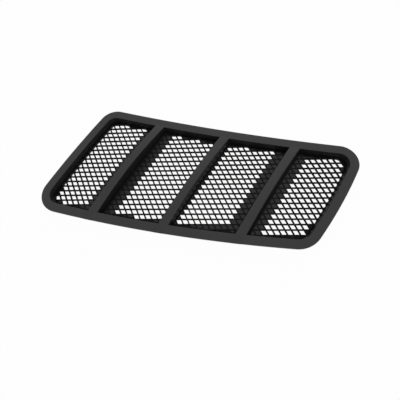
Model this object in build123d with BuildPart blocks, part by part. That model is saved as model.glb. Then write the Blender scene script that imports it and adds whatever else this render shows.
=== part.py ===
"""Bonnet vent panel, moulded in one piece.

A flat frame with rounded corners carries three ribs and a sunken diamond mesh.
The top of the panel faces +Z and it rests on the rim of its locating wall at Z = 0.
X runs across the ribs and Y along them. All sizes are in millimetres.
"""
import math
import os

from build123d import *

os.makedirs("parts", exist_ok=True)

# Outline of the top face: corner points before rounding, and how far each side bows
near_left_x = -141.6
near_left_y = -125.8
near_right_x = 141.7
near_right_y = -3.9
far_left_x = -144.4
far_left_y = 22.6
far_right_x = 141.2
far_right_y = 127.8
near_bow = 7.3
far_bow = 4.8
left_bow = 2.6
right_bow = 4.1
near_left_radius = 22.0
near_right_radius = 28.0
far_left_radius = 22.0
far_right_radius = 21.0

# Section through the frame
band_width = 9.8
flange_thickness = 2.8
wall_thickness = 2.2
recess_depth = 8.0
recess_draft = 1.5
rim_depth = 2.4
outer_edge_chamfer = 0.9
inner_edge_chamfer = 0.5

# Diamond mesh
mesh_thickness = 2.4
cell_pitch_x = 5.5
cell_pitch_y = 3.48
mesh_shift_y = -0.8
cell_width = 8.25
cell_length = 5.22
field_margin = 2.4
outer_strip_x = 74.25
outer_strip_width = 30.2
middle_strip_width = 13.8
closed_row = -16

# Ribs
rib_spacing = 74.7
rib_shift = 0.5
rib_top_width = 9.0
rib_base_width = 13.0
rib_crown = 4.0
rib_bow = 1.6
rib_near_dip = 2.0
rib_end_lap = 1.5
rib_margin = 0.4
rib_wall = 2.2
rib_web = 2.2

# Screw bosses under the two outer ribs
boss_diameter = 9.0
boss_spacing = 76.0
boss_foot = 0.6
pilot_diameter = 3.5
pilot_depth = 9.0

mesh_bottom = rim_depth
mesh_top = mesh_bottom + mesh_thickness
band_top = mesh_top + recess_depth
flange_bottom = band_top - flange_thickness
wall_inset = band_width - wall_thickness
skirt_inset = wall_inset + recess_draft
rib_end_inset = band_width - wall_thickness / 2
hollow_inset = skirt_inset + wall_thickness + 0.3
crest_top = band_top + rib_crown
above_all = crest_top + 10.0

near_left = (near_left_x, near_left_y)
near_right = (near_right_x, near_right_y)
far_left = (far_left_x, far_left_y)
far_right = (far_right_x, far_right_y)
rib_positions = [rib_shift + side * rib_spacing for side in (-1, 0, 1)]


def side_y(start, end, sagitta, x):
    """Y at a given X on a long side that bows towards -Y by the sagitta."""
    chord = Vector(*end) - Vector(*start)
    radius = (chord.length**2 / 4 + sagitta**2) / (2 * sagitta)
    middle = (Vector(*end) + Vector(*start)) / 2
    normal = Vector(-chord.Y, chord.X) / chord.length
    centre = middle + normal * (radius - sagitta)
    return centre.Y - math.sqrt(radius**2 - (x - centre.X) ** 2)


def near_y(x):
    return side_y(near_left, near_right, near_bow, x)


def far_y(x):
    return side_y(far_left, far_right, far_bow, x)


# The outline of the top face
with BuildSketch() as outline:
    with BuildLine():
        SagittaArc(near_left, near_right, -near_bow)
        SagittaArc(near_right, far_right, -right_bow)
        SagittaArc(far_right, far_left, far_bow)
        SagittaArc(far_left, near_left, -left_bow)
    make_face()
    for corner, radius in (
        (near_left, near_left_radius),
        (near_right, near_right_radius),
        (far_left, far_left_radius),
        (far_right, far_right_radius),
    ):
        sharp = outline.vertices().sort_by_distance(Vector(*corner))[0]
        fillet(sharp, radius=radius)


def inset(amount, height):
    """The outline moved inwards by an amount, at a given height."""
    with BuildSketch(Plane.XY.offset(height)) as ring:
        with BuildLine():
            for edge in outline.edges():
                moved = []
                for share in (0, 0.5, 1):
                    point = edge.position_at(share)
                    inward = edge.tangent_at(share).rotate(Axis.Z, 90)
                    if inward.dot(point) > 0:
                        inward = -inward
                    moved.append(point + inward * amount)
                ThreePointArc(*moved)
        make_face()
    return ring.sketch


def closed_column(x):
    """Whether a column of cells lies in one of the closed strips under the ribs."""
    return (
        abs(abs(x) - outer_strip_x) < outer_strip_width / 2
        or abs(x) < middle_strip_width / 2
    )


def closed_cell(column, row):
    """The near end of the window beside the middle rib is closed below one mesh row."""
    x = column * cell_pitch_x
    beside_middle = 0 < x < outer_strip_x - outer_strip_width / 2
    return beside_middle and row - column < closed_row


def open_cells(field):
    """Centres of the mesh cells that lie mostly inside the open field."""
    box = field.bounding_box()
    columns = int(max(-box.min.X, box.max.X) / cell_pitch_x) + 1
    rows = int(max(-box.min.Y, box.max.Y) / cell_pitch_y) + 2
    face = field.faces()[0]
    centres = []
    for column in range(-columns, columns + 1):
        x = column * cell_pitch_x
        if closed_column(x):
            continue
        for row in range(-rows, rows + 1):
            y = mesh_shift_y + row * cell_pitch_y
            if (column + row) % 2 or closed_cell(column, row):
                continue
            probes = [y + share * cell_length for share in (-0.35, 0, 0.35)]
            if all(face.is_inside(Vector(x, probe, mesh_bottom)) for probe in probes):
                centres.append((x, y))
    return centres


def rib_ends(x):
    """Y at which a rib's plan starts and ends, just past the panel on both sides."""
    return near_y(x) - band_width, far_y(x) + band_width


def rib_half_width(height):
    """Half the width of a rib at a height, from its base on the mesh to its crest."""
    share = max(0, (height - mesh_top) / (crest_top - mesh_top))
    return (rib_base_width + (rib_top_width - rib_base_width) * share) / 2


def rib_strip(x, height, half):
    """A strip along one rib, from side to side of the panel, bowed towards -X."""
    start, end = rib_ends(x)
    with BuildSketch(Plane.XY.offset(height)) as strip:
        with BuildLine():
            SagittaArc((x - half, start), (x - half, end), rib_bow)
            Line((x - half, end), (x + half, end))
            SagittaArc((x + half, end), (x + half, start), -rib_bow)
            Line((x + half, start), (x - half, start))
        make_face()
    return strip.sketch


def crest_points(x, drop):
    """Y and Z of a rib's crest line: outer end, near end, middle and far end."""
    band_length = band_width * math.hypot(1, crest_slope(x))
    near_end = near_y(x) + band_length
    far_end = far_y(x) - band_length + rib_end_lap
    return (
        (near_end - 2 * band_length, band_top - 2 * rib_near_dip - drop),
        (near_end, band_top - drop),
        ((near_end + far_end) / 2, crest_top - drop),
        (far_end, band_top - drop),
    )


def crest_slope(x):
    """Y gained along X by the lines of equal height on a rib."""
    return (near_y(x + 1) + far_y(x + 1) - near_y(x - 1) - far_y(x - 1)) / 4


def above_crest(x, drop):
    """Everything above a rib's crest line, which can be lowered by a drop."""
    outer_end, near_end, middle, far_end = crest_points(x, drop)
    rib_end = rib_ends(x)[1]
    with BuildPart() as space:
        with BuildSketch(Plane.YZ.offset(x)):
            with BuildLine():
                Line(outer_end, near_end)
                ThreePointArc(near_end, middle, far_end)
                Polyline(
                    far_end,
                    (rib_end, outer_end[1]),
                    (rib_end, above_all),
                    (outer_end[0], above_all),
                    outer_end,
                )
            make_face()
        extrude(amount=2 * rib_base_width, dir=(1, crest_slope(x), 0), both=True)
    return space.part


def rib_solid(x, shrink, end_inset, depth):
    """One rib up to its crest line and down into the mesh plate by a depth.

    With a shrink it is the space inside the rib.
    """
    base_half = rib_half_width(mesh_top) - shrink
    crest_half = rib_half_width(crest_top) - shrink
    with BuildPart() as rib:
        loft([rib_strip(x, mesh_top, base_half), rib_strip(x, crest_top, crest_half)])
        add(rib_strip(x, mesh_top, base_half))
        extrude(amount=-depth)
        add(above_crest(x, shrink), mode=Mode.SUBTRACT)
        add(inset(end_inset, mesh_top))
        extrude(amount=crest_top, both=True, mode=Mode.INTERSECT)
    return rib.part


def rib_channels(x):
    """The two channels that hollow a rib from below, either side of its web."""
    with BuildPart() as channels:
        add(rib_solid(x, rib_wall, hollow_inset, mesh_thickness + 1))
        add(rib_strip(x, mesh_bottom - 1, rib_web / 2))
        extrude(amount=crest_top, both=True, mode=Mode.SUBTRACT)
    return channels.part


def band_valley(x):
    """The shallow valley in which a rib's near end crosses the frame band."""
    outer_end, near_end = crest_points(x, 0)[:2]
    with BuildPart() as valley:
        with BuildSketch(Plane.YZ.offset(x)):
            Polygon(
                outer_end,
                near_end,
                (outer_end[0], near_end[1]),
                align=None,
            )
        extrude(amount=2 * rib_base_width, dir=(1, crest_slope(x), 0), both=True)
        add(rib_strip(x, band_top, rib_half_width(band_top)))
        extrude(amount=crest_top, both=True, mode=Mode.INTERSECT)
    return valley.part


def boss_places():
    """Centres of the bosses, on the bowed centre lines of the two outer ribs."""
    places = []
    for x in (rib_positions[0], rib_positions[2]):
        start, end = rib_ends(x)
        length = end - start
        middle = (start + end) / 2
        bow = rib_bow * (1 - (boss_spacing / length) ** 2)
        for side in (-1, 1):
            places.append((x - bow, middle + side * boss_spacing / 2))
    return places


# All open cells, cut off at the edge of the open field and beside the ribs
field = inset(band_width + field_margin, mesh_bottom)
with BuildSketch(Plane.XY.offset(mesh_bottom - 1)) as cells:
    with Locations(*open_cells(field)):
        Polygon(
            (cell_width / 2, 0),
            (0, cell_length / 2),
            (-cell_width / 2, 0),
            (0, -cell_length / 2),
        )
    add(inset(band_width + field_margin, mesh_bottom - 1), mode=Mode.INTERSECT)
    for x in rib_positions:
        beside_rib = rib_strip(x, mesh_bottom - 1, rib_base_width / 2 + rib_margin)
        add(beside_rib, mode=Mode.SUBTRACT)

with BuildPart() as vent_panel:
    # Flange and the frame's flat top
    with BuildSketch(Plane.XY.offset(flange_bottom)):
        add(inset(0, flange_bottom))
    extrude(amount=flange_thickness)
    outer_edges = vent_panel.edges().group_by(Axis.Z)[-1]
    chamfer(outer_edges, length=outer_edge_chamfer)

    # Drafted wall down to the mesh and the straight locating wall below it
    loft([inset(wall_inset, flange_bottom), inset(skirt_inset, mesh_bottom)])
    with BuildSketch(Plane.XY):
        add(inset(skirt_inset, 0))
    extrude(amount=mesh_bottom)

    # Recess from above and hollow from below
    loft(
        [
            inset(band_width, band_top),
            inset(band_width + recess_draft, mesh_top),
        ],
        mode=Mode.SUBTRACT,
    )
    with BuildSketch(Plane.XY):
        add(inset(skirt_inset + wall_thickness, 0))
    extrude(amount=mesh_bottom, mode=Mode.SUBTRACT)
    frame_top = vent_panel.faces().sort_by(Axis.Z)[-1]
    chamfer(frame_top.inner_wires().edges(), length=inner_edge_chamfer)

    # Ribs, hollow from below, and the valleys where they cross the near band
    for x in rib_positions:
        add(rib_solid(x, 0, rib_end_inset, mesh_thickness / 2))
        add(band_valley(x), mode=Mode.SUBTRACT)
        add(rib_channels(x), mode=Mode.SUBTRACT)

    # Bosses with blind pilot bores
    with BuildSketch(Plane.XY.offset(boss_foot)):
        with Locations(*boss_places()):
            Circle(boss_diameter / 2)
    extrude(amount=band_top)
    with BuildSketch(Plane.XY.offset(boss_foot)):
        with Locations(*boss_places()):
            Circle(pilot_diameter / 2)
    extrude(amount=pilot_depth, mode=Mode.SUBTRACT)

    # The open cells of the mesh
    extrude(cells.sketch, amount=mesh_thickness + 2, mode=Mode.SUBTRACT)

vent_panel.part.label = "vent_panel"
export_step(vent_panel.part, "parts/vent_panel.step")
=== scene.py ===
import math

import bmesh
import bpy
import numpy as np
from mathutils import Matrix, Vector
from mathutils.kdtree import KDTree


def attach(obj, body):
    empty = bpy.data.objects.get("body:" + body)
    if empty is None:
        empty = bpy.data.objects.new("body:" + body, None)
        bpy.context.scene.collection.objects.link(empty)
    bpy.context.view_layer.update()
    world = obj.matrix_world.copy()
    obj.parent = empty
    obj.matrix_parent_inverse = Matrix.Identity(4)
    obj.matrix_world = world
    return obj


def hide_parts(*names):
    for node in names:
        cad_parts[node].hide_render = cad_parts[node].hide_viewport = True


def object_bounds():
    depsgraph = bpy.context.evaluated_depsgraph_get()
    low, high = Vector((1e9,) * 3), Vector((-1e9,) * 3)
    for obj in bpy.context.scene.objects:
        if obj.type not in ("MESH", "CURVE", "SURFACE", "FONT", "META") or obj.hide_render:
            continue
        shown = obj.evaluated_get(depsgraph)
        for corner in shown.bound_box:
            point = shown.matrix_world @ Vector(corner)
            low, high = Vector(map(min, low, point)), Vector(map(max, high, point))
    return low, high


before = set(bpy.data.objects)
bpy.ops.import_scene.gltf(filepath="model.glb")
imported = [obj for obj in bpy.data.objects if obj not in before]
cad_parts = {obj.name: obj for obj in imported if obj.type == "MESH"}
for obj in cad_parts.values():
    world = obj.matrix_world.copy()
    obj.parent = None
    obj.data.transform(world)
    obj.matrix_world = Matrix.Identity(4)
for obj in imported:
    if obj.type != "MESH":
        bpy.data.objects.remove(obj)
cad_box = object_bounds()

MM = 0.001

# Outline of the top face: corner points, how far each side bows out, corner radii
CORNERS = {
    "near_left": ((-141.6, -125.8), 22.0),
    "near_right": ((141.7, -3.9), 28.0),
    "far_right": ((141.2, 127.8), 21.0),
    "far_left": ((-144.4, 22.6), 22.0),
}
SIDE_BOWS = {"near_left": 7.3, "near_right": 4.1, "far_right": -4.8, "far_left": 2.6}

# Heights, taken down from the crest of the ribs, which is the top of the frame's box
CREST_TOP = cad_box[1][2] / MM
RIB_CROWN = 4.0
RECESS_DEPTH = 8.0
MESH_THICKNESS = 2.4
FLANGE_THICKNESS = 2.8
BAND_TOP = CREST_TOP - RIB_CROWN
MESH_TOP = BAND_TOP - RECESS_DEPTH
MESH_BOTTOM = MESH_TOP - MESH_THICKNESS
FLANGE_BOTTOM = BAND_TOP - FLANGE_THICKNESS

# Section through the frame
BAND_WIDTH = 9.8
WALL = 2.2
DRAFT = 1.5
OUTER_EDGE = 1.1
INNER_EDGE = 0.4
FOOT_EDGE = 0.3
FLANGE_EDGE = 0.4
FLANGE_FILLET = 0.5
BAND_POINTS = (0.25, 0.4, 0.5, 0.6, 0.75)
BEVEL_LIFT = 0.06
BEVEL_SINK = 0.3
PATH_STEP = 1.0

# Diamond mesh
PITCH_X = 5.5
PITCH_Y = 3.48
SHIFT_Y = -0.8
CELL_CORNERS = np.array([[PITCH_X, 0], [0, PITCH_Y], [-PITCH_X, 0], [0, -PITCH_Y]])
CELL_SHRINK = 0.95
GRID_REACH = (150, 125)
FLOOR_INSET = BAND_WIDTH + 1.0
OPEN_SHARE = 0.75
HOLE_SHARE = 0.72
FIELD_INSET = BAND_WIDTH + 2.4
PROBE_REACH = 0.35 * 2 * PITCH_Y * OPEN_SHARE
OUTER_STRIP_X = 74.25
OUTER_STRIP_HALF = 15.1
MIDDLE_STRIP_HALF = 6.9
CLOSED_ROW = -16
RELIEF_DEPTH = 0.55
BAR_ROUND = 0.5
WALL_HOLD = BAND_WIDTH + 0.6

# Ribs
RIB_X = (-74.2, 0.8, 75.2)
RIB_NAMES = ("rib_left", "rib_middle", "rib_right")
RIB_TOP_HALF = 4.5
RIB_BASE_HALF = 6.5
RIB_BOW = 1.6
RIB_EDGE = 0.5
RIB_WALL = 2.2
RIB_WEB_HALF = 1.1
RIB_LAP = 1.5
RIB_END_INSET = 9.5
RIB_HOLD = RIB_BASE_HALF - RIB_WALL + 0.3
CREST_DROP = 0.05
CHANNEL_EDGE = 0.4
HOLE_CLEARANCE = 0.9
NEAR_DIP = 2.0
END_SLOPE = 1.5 * NEAR_DIP / BAND_WIDTH
VALLEY_HALF = RIB_TOP_HALF + (RIB_BASE_HALF - RIB_TOP_HALF) / 3 + 0.3
VALLEY_STEP = 0.9
RIB_FOOT = MESH_BOTTOM + 0.2
END_HEIGHT = FLANGE_BOTTOM + 1.0
FILLET_POINTS = 7

# Bosses under the outer ribs
BOSS_RADIUS = 4.5
PILOT_RADIUS = 1.75
BOSS_SPACING = 76.0
BOSS_FOOT = 0.6
BOSS_TOP = BAND_TOP + 0.6
PILOT_DEPTH = 9.0
BORE_EDGE = 0.2
MOUTH_EDGE = 0.3
BOSS_EDGE = 0.4
BOSS_SIDES = 48

# Width and height of the fillet at the right foot of each rib, and of the bevel at the
# foot of the frame's wall
RIB_FEET = ((2.0, 3.0), (0.8, 2.0), (2.0, 3.0))
WALL_FOOT = (0.85, 2.4)

# Meshes: distance at which points are welded, in metres, angle in degrees over which an
# edge stays sharp, and slack in millimetres for points on a limit
WELD = 2e-6
SHARP_ANGLE = 38
SLACK = 0.01

# Plastics: colour, roughness and specular level. The second and the last are darker, less shiny
# copies of the first, painted shade: the second on the walls, the last, darker still, at their
# feet, along the mesh's bars and beside the walls
PLASTICS = {
    "band_plastic": ((0.009, 0.0092, 0.0095), 0.34, 0.47),
    # painted shade: a darker, rougher and less shiny copy of the band plastic, for the walls and
    # the ribs' sides
    "shaded_wall_plastic": ((0.008, 0.0082, 0.0084), 0.5, 0.26),
    "mesh_plastic": ((0.007, 0.0074, 0.0074), 0.42, 0.36),
    # painted shade: the darkest, least shiny plastic, for the feet of the walls and ribs, the
    # mesh's bars and the pads beside the walls
    "painted_shade_plastic": ((0.004, 0.004, 0.004), 0.5, 0.12),
}
GRAIN_HEIGHT = 0.35

# Places in a piece's list of materials: plain, the darkest plastic as painted shade, and the
# darker wall plastic as painted shade on the sides
PLAIN, PAINTED_SHADE, SHADED_SIDE = 0, 1, 2

# The pads of the mesh take the painted shade up to this inset, beside the walls, and the ribs'
# sides up to this height, at their feet
SHADE_BORDER = 13.6
SHADE_HEIGHT = MESH_TOP + 2.5

# Camera as fitted to the photograph: lens and place, the height above the mesh's middle
LENS = 26.116
CAMERA_PLACE = (97.72, -94.35, 301.94)

# Share of the floor that is plain white, and its half width in metres
FLOOR_WHITE = 0.975
FLOOR_HALF = 3.0

# The world's light by direction: the range of Y over which it rises, and from what to what
WORLD_RISE = (-0.45, -0.02)
WORLD_LIGHT = (0.22, 0.88)


def side_circle(start, end, bow):
    """Circle through a side's two corners: its centre, and its radius R = (L*L/4 + b*b) / 2b.

    L is the chord and b the bow. A negative radius has its centre outside the panel.
    """
    start, end = np.array(start), np.array(end)
    chord = end - start
    length = np.hypot(*chord)
    inward = np.array([-chord[1], chord[0]]) / length
    radius = (length**2 / 4 + bow**2) / (2 * bow)
    return (start + end) / 2 + inward * (radius - bow), radius


def rounding_circle(first, second, radius, corner):
    """Centre of the circle that rounds a corner.

    It is as far from each side's centre as that side's radius less its own, and of the
    two such points it is the one nearer to the corner.
    """
    (c1, r1), (c2, r2) = first, second
    a, b = abs(r1 - radius), abs(r2 - radius)
    gap = c2 - c1
    span = np.hypot(*gap)
    along = (a**2 - b**2 + span**2) / (2 * span)
    across = math.sqrt(a**2 - along**2)
    unit = gap / span
    normal = np.array([-unit[1], unit[0]])
    choices = [c1 + unit * along + normal * across * sign for sign in (-1, 1)]
    return min(choices, key=lambda point: np.hypot(*(point - np.array(corner))))


def outline_arcs():
    """The outline as arcs: centre, signed radius, and outward angle at start and end."""
    names = list(CORNERS)
    sides = [
        side_circle(CORNERS[name][0], CORNERS[after][0], SIDE_BOWS[name])
        for name, after in zip(names, names[1:] + names[:1])
    ]
    roundings = []
    for i, name in enumerate(names):
        corner, radius = CORNERS[name]
        roundings.append((rounding_circle(sides[i - 1], sides[i], radius, corner), radius))

    def angle(side, rounding):
        (centre, radius), (middle, small) = side, rounding
        step = (middle - centre) / (radius - small)
        return math.atan2(step[1], step[0])

    arcs = []
    for i in range(len(names)):
        following = roundings[(i + 1) % len(names)]
        before = angle(sides[i - 1], roundings[i])
        start = angle(sides[i], roundings[i])
        end = angle(sides[i], following)
        turn = (start - before) % (2 * math.pi)
        arcs.append((*roundings[i], before, before + turn))
        sweep = (end - start + math.pi) % (2 * math.pi) - math.pi
        arcs.append((*sides[i], start, start + sweep))
    return arcs


ARCS = outline_arcs()
NEAR_CIRCLE = ARCS[1][:2]
FAR_CIRCLE = ARCS[5][:2]


def ring_path(step):
    """Points round the outline, at most a step apart: centres, radii and outward normals."""
    centres, radii, angles = [], [], []
    for centre, radius, start, end in ARCS:
        count = max(6, int(abs(radius * (end - start)) / step) + 1)
        turned = np.linspace(start, end, count, endpoint=False)
        centres.append(np.repeat([centre], count, axis=0))
        radii.append(np.full(count, radius))
        angles.append(turned)
    angles = np.concatenate(angles)
    normals = np.stack([np.cos(angles), np.sin(angles)], axis=1)
    return np.concatenate(centres), np.concatenate(radii), normals


def inset_of(points):
    """How far points lie inside the outline, and the outward normal there.

    For each arc the distance is its radius less the distance from its centre. The arc
    that counts is the one with the least distance among those whose sector holds the
    point.
    """
    best = np.full(points.shape[:-1], np.inf)
    normals = np.zeros_like(points)
    for centre, radius, start, end in ARCS:
        offset = points - centre
        reach = np.hypot(offset[..., 0], offset[..., 1])
        outward = offset / reach[..., None] * np.sign(radius)
        inset = radius - reach * np.sign(radius)
        angle = np.arctan2(outward[..., 1], outward[..., 0])
        low, high = min(start, end), max(start, end)
        turned = (angle - low) % (2 * math.pi)
        closer = (turned <= high - low + 1e-3) & (inset < best)
        best = np.where(closer, inset, best)
        normals = np.where(closer[..., None], outward, normals)
    return best, normals


def pull_inside(points, limit):
    """Points nearer to the outline than a limit move straight inwards onto it."""
    inset, normals = inset_of(points)
    short = np.clip(limit - inset, 0, None)
    return points - normals * short[..., None]


def circle_y(circle, inset, x):
    """Y on the near or far side, moved inwards by an inset, at a given X.

    Both sides are arcs about a centre beyond the far side. Y is that centre's Y less the
    square root of (R - inset)^2 - (X - the centre's X)^2.
    """
    centre, radius = circle
    return centre[1] - np.sqrt((radius - inset) ** 2 - (x - centre[0]) ** 2)


def near_y(x, inset=0.0):
    """Y on the near side."""
    return circle_y(NEAR_CIRCLE, inset, x)


def far_y(x, inset=0.0):
    """Y on the far side."""
    return circle_y(FAR_CIRCLE, inset, x)


def rib_line(x, y):
    """X of a rib's centre line at a given Y.

    It bows towards -X as a parabola, x - b(1 - a*a), with a from -1 at the near end of the
    window to 1 at its far end.
    """
    start = near_y(x) - BAND_WIDTH
    end = far_y(x) + BAND_WIDTH
    along = (y - start) / (end - start) * 2 - 1
    return x - RIB_BOW * (1 - along**2)


def round_corners(corners, steps=4):
    """A closed section with each corner (a, b, radius) replaced by an arc.

    The arc runs between points one radius along both edges, as a quadratic Bezier curve
    whose middle control point is the corner.
    """
    points = []
    count = len(corners)
    for i, (a, b, radius) in enumerate(corners):
        here = np.array([a, b])
        if radius == 0:
            points.append(here)
            continue
        ends = []
        for other in (corners[i - 1], corners[(i + 1) % count]):
            edge = np.array(other[:2]) - here
            ends.append(here + edge / np.hypot(*edge) * radius)
        for t in np.linspace(0, 1, steps + 1):
            points.append((1 - t) ** 2 * ends[0] + 2 * t * (1 - t) * here + t**2 * ends[1])
    return np.array(points)


def grid_faces(rows, columns, wrap_rows=False, wrap_columns=False):
    """Quads between neighbouring points of a grid, as rows of four indices."""
    r = np.arange(rows if wrap_rows else rows - 1)
    c = np.arange(columns if wrap_columns else columns - 1)
    r, c = np.meshgrid(r, c, indexing="ij")
    after_r, after_c = (r + 1) % rows, (c + 1) % columns
    quads = [
        r * columns + c,
        after_r * columns + c,
        after_r * columns + after_c,
        r * columns + after_c,
    ]
    return np.stack(quads, axis=-1).reshape(-1, 4)


def make_piece(name, parts, materials, finish=None):
    """A mesh object from parts: points in millimetres, faces, and the material of each face.

    Points that coincide are welded, faces without area are dropped and loose points go. A
    finish, if given, then works on the bmesh. Last, every face is turned outwards.
    """
    points, faces, slots, start = [], [], [], 0
    for part_points, part_faces, part_slots in parts:
        flat = np.asarray(part_points, float).reshape(-1, 3)
        points.append(flat)
        faces.extend((np.asarray(part_faces) + start).tolist())
        slots.append(np.broadcast_to(part_slots, len(part_faces)))
        start += len(flat)
    mesh = bpy.data.meshes.new(name)
    mesh.from_pydata((np.concatenate(points) * MM).tolist(), [], faces)
    for material in materials:
        mesh.materials.append(material)
    mesh.polygons.foreach_set("material_index", np.concatenate(slots).astype(np.int32))
    shape = bmesh.new()
    shape.from_mesh(mesh)
    bmesh.ops.remove_doubles(shape, verts=shape.verts, dist=WELD)
    bmesh.ops.dissolve_degenerate(shape, edges=shape.edges, dist=WELD / 2)
    loose = [vert for vert in shape.verts if not vert.link_faces]
    bmesh.ops.delete(shape, geom=loose, context="VERTS")
    if finish:
        finish(shape)
    bmesh.ops.recalc_face_normals(shape, faces=shape.faces)
    shape.to_mesh(mesh)
    shape.free()
    mesh.shade_smooth()
    mesh.set_sharp_from_angle(angle=math.radians(SHARP_ANGLE))
    piece = bpy.data.objects.new(name, mesh)
    bpy.context.scene.collection.objects.link(piece)
    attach(piece, "root")
    return piece


def skin_slots(low, wall):
    """Material of each strip between two points of a section: the darkest plastic, painted shade
    at the foot, where both are low; else the darker wall plastic, painted shade on the sides,
    where both are on a wall; else the plain one.
    """
    slots = np.where(wall & np.roll(wall, -1), SHADED_SIDE, PLAIN)
    return np.where(low & np.roll(low, -1), PAINTED_SHADE, slots)


def foot_fillet(size):
    """Points of a fillet from a rib's right side out over the pads beside its foot.

    It starts on the side one height above the pads and ends one width past the base, as a
    quadratic Bezier curve whose middle control point is the foot of the side on the pads.
    """
    width, rise = size
    pads = MESH_TOP - RELIEF_DEPTH
    start_z = pads + rise
    lean = (RIB_BASE_HALF - RIB_TOP_HALF) / (CREST_TOP - MESH_TOP)
    start = np.array([RIB_BASE_HALF - lean * (start_z - MESH_TOP), start_z])
    foot = np.array([RIB_BASE_HALF, pads])
    end = np.array([RIB_BASE_HALF + width, pads])
    return [
        (*((1 - t) ** 2 * start + 2 * t * (1 - t) * foot + t**2 * end), 0.0)
        for t in np.linspace(0, 1, FILLET_POINTS)
    ]


def crest_height(share):
    """Height of a rib's crest over the window: a parabola, 4s(1 - s) of the crown."""
    return BAND_TOP + RIB_CROWN * 4 * share * (1 - share)


def valley_depth(x, y, inset):
    """How far the near band sinks where a rib crosses it.

    The sink grows in a straight line from nothing at the band's inner edge to the full
    dip at the outline, and ends in a steep smooth step at the rib's edges.
    """
    depth = np.zeros_like(x)
    near = y < (near_y(x) + far_y(x)) / 2
    for rib_x in RIB_X:
        aside = np.abs(x - rib_line(rib_x, y))
        step = np.clip((VALLEY_HALF - aside) / VALLEY_STEP, 0, 1)
        sink = NEAR_DIP * np.clip(1 - inset / BAND_WIDTH, 0, 1)
        depth = depth + sink * step**2 * (3 - 2 * step) * near
    return depth


def frame_moulding(materials):
    """The frame: a closed section (inset, height) carried round the outline.

    Its inner wall ends in a straight bevel over the edge of the mesh. The wall's foot and the
    bevel take the darkest plastic, painted shade, and the wall above a darker, less shiny copy of
    the band's plastic, painted shade too.
    """
    wall_base = BAND_WIDTH + DRAFT
    outer_base = wall_base - WALL
    width, rise = WALL_FOOT
    corners = [
        (0.0, FLANGE_BOTTOM, FLANGE_EDGE),
        (0.0, BAND_TOP, OUTER_EDGE),
        *[(BAND_WIDTH * share, BAND_TOP, 0.0) for share in BAND_POINTS],
        (BAND_WIDTH, BAND_TOP, INNER_EDGE),
        (BAND_WIDTH + DRAFT * (1 - rise / RECESS_DEPTH), MESH_TOP + rise, FOOT_EDGE),
        (wall_base + width, MESH_TOP + BEVEL_LIFT, 0.0),
        (wall_base + width, MESH_TOP - BEVEL_SINK, 0.0),
        (wall_base, MESH_TOP - BEVEL_SINK, 0.0),
        (wall_base, 0.0, FOOT_EDGE),
        (outer_base, 0.0, FOOT_EDGE),
        (outer_base, MESH_BOTTOM, 0.0),
        (BAND_WIDTH - WALL, FLANGE_BOTTOM, FLANGE_FILLET),
    ]
    section = round_corners(corners)
    centres, radii, normals = ring_path(PATH_STEP)
    inset, height = section[:, 0], section[:, 1]
    reach = radii[:, None] - inset[None, :]
    plan = centres[:, None, :] + reach[..., None] * normals[:, None, :]
    x, y = plan[..., 0], plan[..., 1]
    raised = np.clip((height - FLANGE_BOTTOM) / FLANGE_THICKNESS, 0, 1)
    inset = np.broadcast_to(inset, x.shape)
    z = height[None, :] - valley_depth(x, y, inset) * raised[None, :]
    points = np.stack([x, y, z], axis=-1)
    faces = grid_faces(*x.shape, wrap_rows=True, wrap_columns=True)
    # Painted shade: darkest at the wall's foot and bevel, darker on the wall
    low = (section[:, 0] > BAND_WIDTH + 0.5) & (height > MESH_BOTTOM)
    low &= height < MESH_TOP + rise + 0.3
    wall = (section[:, 0] > BAND_WIDTH + 0.05) & (height > MESH_TOP)
    slots = np.tile(skin_slots(low, wall), len(centres))
    return make_piece("frame_moulding", [(points, faces, slots)], materials)


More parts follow.
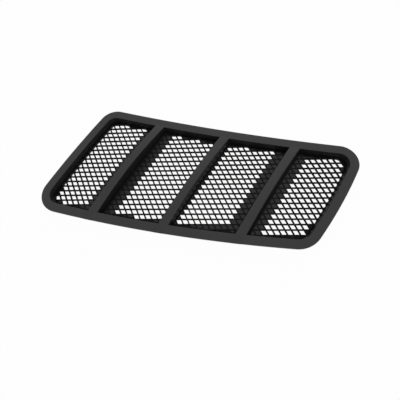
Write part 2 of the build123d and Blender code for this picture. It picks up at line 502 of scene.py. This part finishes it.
def rib(name, rib_x, foot_size, materials):
    """One rib: a section with two channels and a web between them, carried along Y.

    The half width falls in a straight line from base to crest. At each station the crest
    follows the crown over the window and sinks into both bands beyond it. Stations run
    between the near and far walls, slanted as these are. Below the flange both ends stop
    inside the frame's wall. The right side ends in a fillet of the given width and height.
    """
    share = np.concatenate([
        np.linspace(-0.012, -0.002, 3),
        np.linspace(0.0, 1.0, 97),
        np.linspace(1.004, 1.016, 4),
    ])

    def half_width(z):
        level = np.clip((z - MESH_TOP) / (CREST_TOP - MESH_TOP), 0, 1)
        return RIB_BASE_HALF + (RIB_TOP_HALF - RIB_BASE_HALF) * level

    length = far_y(rib_x, BAND_WIDTH) - near_y(rib_x, BAND_WIDTH)
    lap = RIB_LAP / length
    crest = crest_height(np.clip(share / (1 + lap), 0, 1))
    slope = END_SLOPE * length
    crest = crest - slope * (np.clip(-share, 0, None) + np.clip(share - 1 - lap, 0, None))

    fillet = foot_fillet(foot_size)
    rows = []
    for top in crest:
        roof = top - RIB_WALL
        edge = half_width(top)
        corners = [
            (-RIB_BASE_HALF, RIB_FOOT, 0.0),
            (-RIB_BASE_HALF, MESH_TOP, 0.0),
            (-half_width(SHADE_HEIGHT), SHADE_HEIGHT, 0.0),
            (-edge, top - CREST_DROP, RIB_EDGE),
            (-edge / 3, top, 0.0),
            (edge / 3, top, 0.0),
            (edge, top - CREST_DROP, RIB_EDGE),
            *fillet,
            (RIB_BASE_HALF, RIB_FOOT, 0.0),
            (RIB_BASE_HALF - RIB_WALL, RIB_FOOT, 0.0),
            (half_width(roof) - RIB_WALL, roof, CHANNEL_EDGE),
            (RIB_WEB_HALF, roof, CHANNEL_EDGE),
            (RIB_WEB_HALF, RIB_FOOT, 0.0),
            (-RIB_WEB_HALF, RIB_FOOT, 0.0),
            (-RIB_WEB_HALF, roof, CHANNEL_EDGE),
            (-half_width(roof) + RIB_WALL, roof, CHANNEL_EDGE),
            (-RIB_BASE_HALF + RIB_WALL, RIB_FOOT, 0.0),
        ]
        rows.append(round_corners(corners))
    section = np.array(rows)
    side, z = section[..., 0], section[..., 1]
    x = rib_x + side
    for _ in range(2):
        start, end = near_y(x, BAND_WIDTH), far_y(x, BAND_WIDTH)
        y = start + (end - start) * share[:, None]
        x = side + rib_line(rib_x, y)
    held = np.clip(y, near_y(x, RIB_END_INSET), far_y(x, RIB_END_INSET))
    y = np.where(z < END_HEIGHT, held, y)
    points = np.stack([x, y, z], axis=-1)
    faces = grid_faces(*x.shape, wrap_columns=True)
    aside, height = np.abs(section[len(section) // 2]).T
    # Painted shade: the feet of both sides, with the right side's fillet, take the darkest
    # plastic, and the sides above them a darker, less shiny copy of the band plastic
    low = (height < SHADE_HEIGHT + 0.1) & (aside > RIB_TOP_HALF + 1.0)
    wall = (aside > RIB_TOP_HALF) & (height > MESH_TOP)
    around = [list(range(x.shape[1]))]
    parts = [
        (points, faces, np.tile(skin_slots(low, wall), len(section) - 1)),
        (points[0], around, PLAIN),
        (points[-1], around, PLAIN),
    ]
    return make_piece(name, parts, materials)


def mesh_cells():
    """The middle of every cell that touches the floor, and which of the cells are open.

    A cell is open where its middle and two points on its short diagonal lie in the field,
    outside the closed strips and above the closed row beside the middle rib.
    """
    reach_x = int(GRID_REACH[0] / PITCH_X)
    reach_y = int(GRID_REACH[1] / PITCH_Y)
    column, row = np.meshgrid(
        np.arange(-reach_x, reach_x + 1), np.arange(-reach_y, reach_y + 1), indexing="ij"
    )
    even = (column + row) % 2 == 0
    column, row = column[even], row[even]
    centre = np.stack([column * PITCH_X, row * PITCH_Y + SHIFT_Y], axis=1)
    x, y = centre[:, 0], centre[:, 1]
    corners = centre[:, None] + CELL_CORNERS * CELL_SHRINK
    touching = inset_of(corners)[0].max(axis=1) > FLOOR_INSET
    touching &= (y > near_y(x)) & (y < far_y(x))
    column, row, centre = column[touching], row[touching], centre[touching]
    probes = centre[:, None] + np.array([[0, -1], [0, 0], [0, 1]]) * PROBE_REACH
    x = centre[:, 0]
    is_open = inset_of(probes)[0].min(axis=1) > FIELD_INSET
    is_open &= np.abs(np.abs(x) - OUTER_STRIP_X) > OUTER_STRIP_HALF
    is_open &= np.abs(x) > MIDDLE_STRIP_HALF
    beside_middle = (x > 0) & (x < OUTER_STRIP_X - OUTER_STRIP_HALF)
    is_open &= ~(beside_middle & (row - column < CLOSED_ROW))
    return centre, is_open


def cell_outline(steps):
    """Points round a cell of the mesh, from corner to corner, with steps on each side."""
    after = np.roll(CELL_CORNERS, -1, axis=0)
    t = np.linspace(0, 1, steps, endpoint=False)[None, :, None]
    points = CELL_CORNERS[:, None] * (1 - t) + after[:, None] * t
    return points.reshape(-1, 2)


def push_aside(points, half):
    """Points nearer to a rib's centre line than a half width move sideways out to it."""
    x, y = points[..., 0], points[..., 1]
    for rib_x in RIB_X:
        line = rib_line(rib_x, y)
        side = np.where(x < line, -1.0, 1.0)
        near_rib = np.abs(x - line) < half
        x = np.where(near_rib, line + side * half, x)
    return np.stack([x, y], axis=-1)


def tile_faces(tiles, levels, around):
    """Quads of many tiles, each a stack of closed rings with the same count of points."""
    tile = grid_faces(levels, around, wrap_columns=True)
    starts = np.arange(tiles) * levels * around
    return (tile[None] + starts[:, None, None]).reshape(-1, 4)


def tile_stack(levels, slots):
    """Points, faces and materials of tiles from their levels, each (plan, height).

    Each band between two levels has its own material. Points past the wall or inside a
    rib's channels move to their edge. Faces that then cross a channel, or have no area,
    are left out. Those beside the wall take the darkest plastic, painted shade along the wall's
    foot.
    """
    plan = np.stack([plan for plan, _ in levels], axis=1)
    plan = push_aside(pull_inside(plan, WALL_HOLD), RIB_HOLD)
    height = np.array([z for _, z in levels])
    z = np.broadcast_to(height[None, :, None], plan.shape[:-1])
    points = np.concatenate([plan, z[..., None]], axis=-1)
    faces = tile_faces(*plan.shape[:-1])
    x, y = plan.reshape(-1, 2)[faces].transpose(2, 0, 1)
    kept = np.ones(len(faces), bool)
    for rib_x in RIB_X:
        aside = x - rib_line(rib_x, y)
        kept &= (aside.min(axis=1) > -RIB_HOLD + SLACK) | (aside.max(axis=1) < RIB_HOLD - SLACK)
        kept &= np.abs(aside).max(axis=1) > RIB_HOLD + SLACK
    inset = inset_of(plan.reshape(-1, 2)[faces])[0]
    kept &= inset.max(axis=1) > WALL_HOLD + SLACK
    slots = np.tile(np.repeat(slots, plan.shape[2]), len(plan))
    # Painted shade: faces beside the wall take the darkest plastic
    slots = np.where(inset.mean(axis=1) < SHADE_BORDER, PAINTED_SHADE, slots)
    return points, faces[kept], slots[kept]


def close_rims(shape):
    """Side faces between the free edges of the floor's top and those of its underside.

    Both have the same plan there, so each top corner takes the lower one nearest to it.
    Small gaps that this leaves where the free edges turn are filled.
    """
    middle = (MESH_TOP + MESH_BOTTOM) / 2 * MM
    free = [edge for edge in shape.edges if edge.is_boundary]
    lower = [v for v in {v for e in free for v in e.verts} if v.co.z < middle]
    lower.sort(key=lambda vert: vert.index)
    tree = KDTree(len(lower))
    for i, vert in enumerate(lower):
        tree.insert((vert.co.x, vert.co.y, 0.0), i)
    tree.balance()
    for edge in free:
        a, b = edge.verts
        if min(a.co.z, b.co.z) < middle:
            continue
        found = [tree.find((v.co.x, v.co.y, 0.0)) for v in (a, b)]
        low_a, low_b = (lower[index] for _, index, _ in found)
        if max(reach for _, _, reach in found) < SLACK * MM and low_a != low_b:
            shape.faces.new((a, b, low_b, low_a))
    free = [edge for edge in shape.edges if edge.is_boundary]
    bmesh.ops.holes_fill(shape, edges=free, sides=8)


def mesh_floor(materials):
    """The diamond mesh: one tile per cell, from the middle of its bars to its hole.

    Going in from a tile's edge, a bar's top falls as a quarter circle,
    z = top - r(1 - sqrt(1 - s*s)), with s from 0 at the bar's middle to 1 at its side. An
    open tile then goes down the hole's side and back under. A closed tile ends in a flat
    pad a little below the bars. Under a rib the tiles stop at its channels.
    """
    centre, is_open = mesh_cells()
    ring = cell_outline(2)
    turn = np.linspace(0, math.pi / 2, 4)
    bars = ring * (1 - HOLE_SHARE)

    def bar_side(inner, start, rise, angles):
        """Levels round a bar's edge, from its top (0) to its side (a right angle)."""
        return [
            (inner + bars * (1 - math.sin(angle)), start + rise * (1 - math.cos(angle)))
            for angle in angles
        ]

    # open tiles
    cells = centre[is_open][:, None, :]
    edge = cells + ring
    hole = pull_inside(cells + ring * HOLE_SHARE, FIELD_INSET)
    hole = push_aside(hole, RIB_BASE_HALF + HOLE_CLEARANCE)
    levels = [
        (edge, MESH_TOP),
        *bar_side(hole, MESH_TOP, -BAR_ROUND, turn),
        *bar_side(hole, MESH_BOTTOM, BAR_ROUND, turn[::-1]),
        (edge, MESH_BOTTOM),
    ]
    # Painted shade: the open tiles' bars and holes' sides take the darkest plastic, standing in
    # for the shade on the rounded bars
    parts = [tile_stack(levels, [PAINTED_SHADE] * (len(levels) - 1))]

    # closed tiles
    cells = centre[~is_open][:, None, :]
    pad = cells + ring * HOLE_SHARE
    levels = [
        (cells + ring, MESH_TOP),
        *bar_side(pad, MESH_TOP, -RELIEF_DEPTH, turn[1:]),
        (cells + ring * 0.0, MESH_TOP - RELIEF_DEPTH),
    ]
    # Painted shade: the bars round a closed tile take the darkest plastic, its pad the mesh's own
    parts.append(tile_stack(levels, [PAINTED_SHADE] * (len(levels) - 2) + [PLAIN]))
    under = [(plan, MESH_BOTTOM) for plan, _ in levels[::-1]]
    parts.append(tile_stack(under, [PLAIN] * (len(under) - 1)))
    return make_piece("diamond_mesh", parts, materials, finish=close_rims)


def boss(name, x, y, materials):
    """A screw boss: a section (radius, height) with a blind bore, turned about its axis."""
    section = round_corners([
        (0.0, BOSS_FOOT + PILOT_DEPTH, 0.0),
        (PILOT_RADIUS, BOSS_FOOT + PILOT_DEPTH, BORE_EDGE),
        (PILOT_RADIUS, BOSS_FOOT, MOUTH_EDGE),
        (BOSS_RADIUS, BOSS_FOOT, BOSS_EDGE),
        (BOSS_RADIUS, BOSS_TOP, 0.0),
        (0.0, BOSS_TOP, 0.0),
    ])
    angle = np.linspace(0, 2 * math.pi, BOSS_SIDES, endpoint=False)
    radius, height = section[:, 0], section[:, 1]
    points = np.stack([
        x + np.cos(angle)[:, None] * radius,
        y + np.sin(angle)[:, None] * radius,
        np.broadcast_to(height, (len(angle), len(height))),
    ], axis=-1)
    faces = grid_faces(len(angle), len(height), wrap_rows=True)
    return make_piece(name, [(points, faces, PLAIN)], materials)


# Materials


def node_group(name, inputs, outputs):
    """An empty shader group with named sockets, and its input and output nodes."""
    group = bpy.data.node_groups.new(name, "ShaderNodeTree")
    for socket, kind in inputs:
        group.interface.new_socket(socket, in_out="INPUT", socket_type=kind)
    for socket, kind in outputs:
        group.interface.new_socket(socket, in_out="OUTPUT", socket_type=kind)
    return group, group.nodes.new("NodeGroupInput"), group.nodes.new("NodeGroupOutput")


def add_node(tree, kind, **settings):
    """A node with the given settings. A setting named in_N is the value of its input N."""
    node = tree.nodes.new(kind)
    for key, value in settings.items():
        if key.startswith("in_"):
            node.inputs[int(key[3:])].default_value = value
        else:
            setattr(node, key, value)
    return node


def moulded_grain():
    """The fine grain of moulded plastic.

    The shade varies slowly over the panel with one noise. The roughness varies with a
    finer one, and the normal comes from a spark-eroded texture a fifth of a
    millimetre across.
    """
    group, given, result = node_group(
        "moulded_grain",
        [
            ("Position", "NodeSocketVector"),
            ("Colour", "NodeSocketColor"),
            ("Roughness", "NodeSocketFloat"),
            ("Grain height", "NodeSocketFloat"),
        ],
        [
            ("Colour", "NodeSocketColor"),
            ("Roughness", "NodeSocketFloat"),
            ("Normal", "NodeSocketVector"),
        ],
    )
    link = group.links.new
    # inputs 2 and 3 of a noise are its scale and detail, and 1 to 4 of a map range its
    # range in and its range out
    flow = add_node(group, "ShaderNodeTexNoise", in_2=28.0, in_3=3.0)
    fine = add_node(group, "ShaderNodeTexNoise", in_2=420.0, in_3=2.0)
    grain = add_node(group, "ShaderNodeTexNoise", in_2=2600.0, in_3=2.0)
    for noise in (flow, fine, grain):
        link(given.outputs["Position"], noise.inputs["Vector"])
    shade = add_node(group, "ShaderNodeMapRange", in_1=0.3, in_2=0.7, in_3=0.86, in_4=1.14)
    link(flow.outputs["Fac"], shade.inputs["Value"])
    tint = add_node(group, "ShaderNodeVectorMath", operation="SCALE")
    link(given.outputs["Colour"], tint.inputs[0])
    link(shade.outputs["Result"], tint.inputs["Scale"])
    link(tint.outputs["Vector"], result.inputs["Colour"])
    spread = add_node(group, "ShaderNodeMapRange", in_1=0.3, in_2=0.7, in_3=-0.05, in_4=0.05)
    link(fine.outputs["Fac"], spread.inputs["Value"])
    rough = add_node(group, "ShaderNodeMath", operation="ADD", use_clamp=True)
    link(given.outputs["Roughness"], rough.inputs[0])
    link(spread.outputs["Result"], rough.inputs[1])
    link(rough.outputs["Value"], result.inputs["Roughness"])
    bump = add_node(group, "ShaderNodeBump", in_1=0.00004)
    link(grain.outputs["Fac"], bump.inputs["Height"])
    link(given.outputs["Grain height"], bump.inputs["Strength"])
    link(bump.outputs["Normal"], result.inputs["Normal"])
    return group


def black_plastic(name, grain):
    """Black moulded plastic with the colour, roughness and specular level of its name."""
    colour, roughness, shine = PLASTICS[name]
    material = bpy.data.materials.new(name)
    material.use_nodes = True
    tree = material.node_tree
    shader = tree.nodes["Principled BSDF"]
    shader.inputs["IOR"].default_value = 1.5
    shader.inputs["Specular IOR Level"].default_value = shine
    place = add_node(tree, "ShaderNodeTexCoord")
    surface = add_node(tree, "ShaderNodeGroup", node_tree=grain)
    tree.links.new(place.outputs["Object"], surface.inputs["Position"])
    surface.inputs["Colour"].default_value = (*colour, 1.0)
    surface.inputs["Roughness"].default_value = roughness
    surface.inputs["Grain height"].default_value = GRAIN_HEIGHT
    tree.links.new(surface.outputs["Colour"], shader.inputs["Base Color"])
    tree.links.new(surface.outputs["Roughness"], shader.inputs["Roughness"])
    tree.links.new(surface.outputs["Normal"], shader.inputs["Normal"])
    return material


# Camera, floor and light


def stand(thing, right, up, back, place):
    """Give a camera or lamp its axes and its place, in metres, and put it in the scene."""
    rows = [(*row,) for row in zip(right, up, back, place)]
    thing.matrix_world = Matrix(rows + [(0, 0, 0, 1)])
    bpy.context.scene.collection.objects.link(thing)


def photo_camera():
    """The camera of the photograph, as fitted to the holes of the mesh: place and axes."""
    data = bpy.data.cameras.new("photo_camera")
    data.sensor_width = 36.0
    data.lens = LENS
    camera = bpy.data.objects.new("photo_camera", data)
    right = (0.83041, 0.55097, -0.08278)
    up = (-0.49601, 0.79874, 0.34055)
    back = (0.25375, -0.24174, 0.93657)
    middle = (MESH_TOP + MESH_BOTTOM) / 2
    x, y, height = CAMERA_PLACE
    place = (x * MM, y * MM, (middle + height) * MM)
    stand(camera, right, up, back, place)
    bpy.context.scene.camera = camera


def shows_background(tree):
    """A node that gives 1 for camera, glossy and transmission rays, and 0 for others."""
    path = add_node(tree, "ShaderNodeLightPath")
    reflected = add_node(tree, "ShaderNodeMath", operation="MAXIMUM")
    tree.links.new(path.outputs["Is Glossy Ray"], reflected.inputs[0])
    tree.links.new(path.outputs["Is Transmission Ray"], reflected.inputs[1])
    shown = add_node(tree, "ShaderNodeMath", operation="MAXIMUM")
    tree.links.new(path.outputs["Is Camera Ray"], shown.inputs[0])
    tree.links.new(reflected.outputs["Value"], shown.inputs[1])
    return shown


def pale_floor():
    """A floor that looks near white, in reflections too, and takes a faint shadow."""
    mesh = bpy.data.meshes.new("pale_floor")
    signs = ((-1, -1), (1, -1), (1, 1), (-1, 1))
    corners = [(x * FLOOR_HALF, y * FLOOR_HALF, 0.0) for x, y in signs]
    mesh.from_pydata(corners, [], [(0, 1, 2, 3)])
    floor = bpy.data.objects.new("pale_floor", mesh)
    bpy.context.scene.collection.objects.link(floor)
    material = bpy.data.materials.new("pale_floor")
    material.use_nodes = True
    tree = material.node_tree
    tree.nodes["Principled BSDF"].inputs["Base Color"].default_value = (0.8, 0.8, 0.8, 1.0)
    tree.nodes["Principled BSDF"].inputs["Roughness"].default_value = 0.9
    glow = add_node(tree, "ShaderNodeEmission", in_0=(1.0, 1.0, 1.0, 1.0), in_1=1.0)
    share = add_node(tree, "ShaderNodeMath", operation="MULTIPLY", in_1=FLOOR_WHITE)
    tree.links.new(shows_background(tree).outputs["Value"], share.inputs[0])
    mix = add_node(tree, "ShaderNodeMixShader")
    tree.links.new(share.outputs["Value"], mix.inputs["Fac"])
    tree.links.new(tree.nodes["Principled BSDF"].outputs["BSDF"], mix.inputs[1])
    tree.links.new(glow.outputs["Emission"], mix.inputs[2])
    tree.links.new(mix.outputs["Shader"], tree.nodes["Material Output"].inputs["Surface"])
    mesh.materials.append(material)


def studio_world():
    """White to the camera and in reflections. As light, bright above and behind, dim in front."""
    world = bpy.data.worlds.new("studio")
    bpy.context.scene.world = world
    world.use_nodes = True
    tree = world.node_tree
    place = add_node(tree, "ShaderNodeTexCoord")
    split = add_node(tree, "ShaderNodeSeparateXYZ")
    tree.links.new(place.outputs["Generated"], split.inputs["Vector"])
    behind = add_node(
        tree, "ShaderNodeMapRange", interpolation_type="SMOOTHSTEP",
        in_1=WORLD_RISE[0], in_2=WORLD_RISE[1], in_3=WORLD_LIGHT[0], in_4=WORLD_LIGHT[1],
    )
    tree.links.new(split.outputs["Y"], behind.inputs["Value"])
    strength = add_node(tree, "ShaderNodeMix", data_type="FLOAT")
    tree.links.new(shows_background(tree).outputs["Value"], strength.inputs["Factor"])
    tree.links.new(behind.outputs["Result"], strength.inputs["A"])
    strength.inputs["B"].default_value = 1.0
    background = tree.nodes["Background"]
    tree.links.new(strength.outputs["Result"], background.inputs["Strength"])
    background.inputs["Color"].default_value = (1.0, 1.0, 1.0, 1.0)


def softbox(name, place, target, size, power):
    """A square area lamp at a place, turned to a target, in metres and watts."""
    data = bpy.data.lights.new(name, "AREA")
    data.size = size
    data.energy = power
    lamp = bpy.data.objects.new(name, data)
    aim = np.array(target) - np.array(place)
    back = -aim / np.linalg.norm(aim)
    right = np.cross((0.0, 0.0, 1.0), back)
    right = right / np.linalg.norm(right)
    up = np.cross(back, right)
    stand(lamp, right, up, back, place)


def boss_places():
    """Centres of the bosses, on the bowed centre lines of the two outer ribs."""
    for name, rib_x in zip(("left", "right"), (RIB_X[0], RIB_X[2])):
        middle = (near_y(rib_x) + far_y(rib_x)) / 2
        for end, side in (("near", -1), ("far", 1)):
            y = middle + side * BOSS_SPACING / 2
            yield f"boss_{name}_{end}", rib_line(rib_x, y), y


grain = moulded_grain()
band_plastic, shaded_wall_plastic, mesh_plastic, painted_shade_plastic = (
    black_plastic(name, grain) for name in PLASTICS
)
# Slots of the body: plain, then the darkest plastic, painted shade at the feet, then the darker
# wall plastic, painted shade on the sides
body_plastics = [band_plastic, painted_shade_plastic, shaded_wall_plastic]

moulding = frame_moulding(body_plastics)
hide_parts("vent_panel")
for rib_name, rib_x, foot_size in zip(RIB_NAMES, RIB_X, RIB_FEET):
    rib(rib_name, rib_x, foot_size, body_plastics)
mesh_floor([mesh_plastic, painted_shade_plastic])
for boss_name, x, y in boss_places():
    boss(boss_name, x, y, [band_plastic])

photo_camera()
pale_floor()
studio_world()
softbox("key_behind", place=(-0.35, 0.75, 1.1), target=(0.0, 0.0, 0.0), size=0.9, power=0.5)
bpy.context.scene.view_settings.view_transform = "Standard"
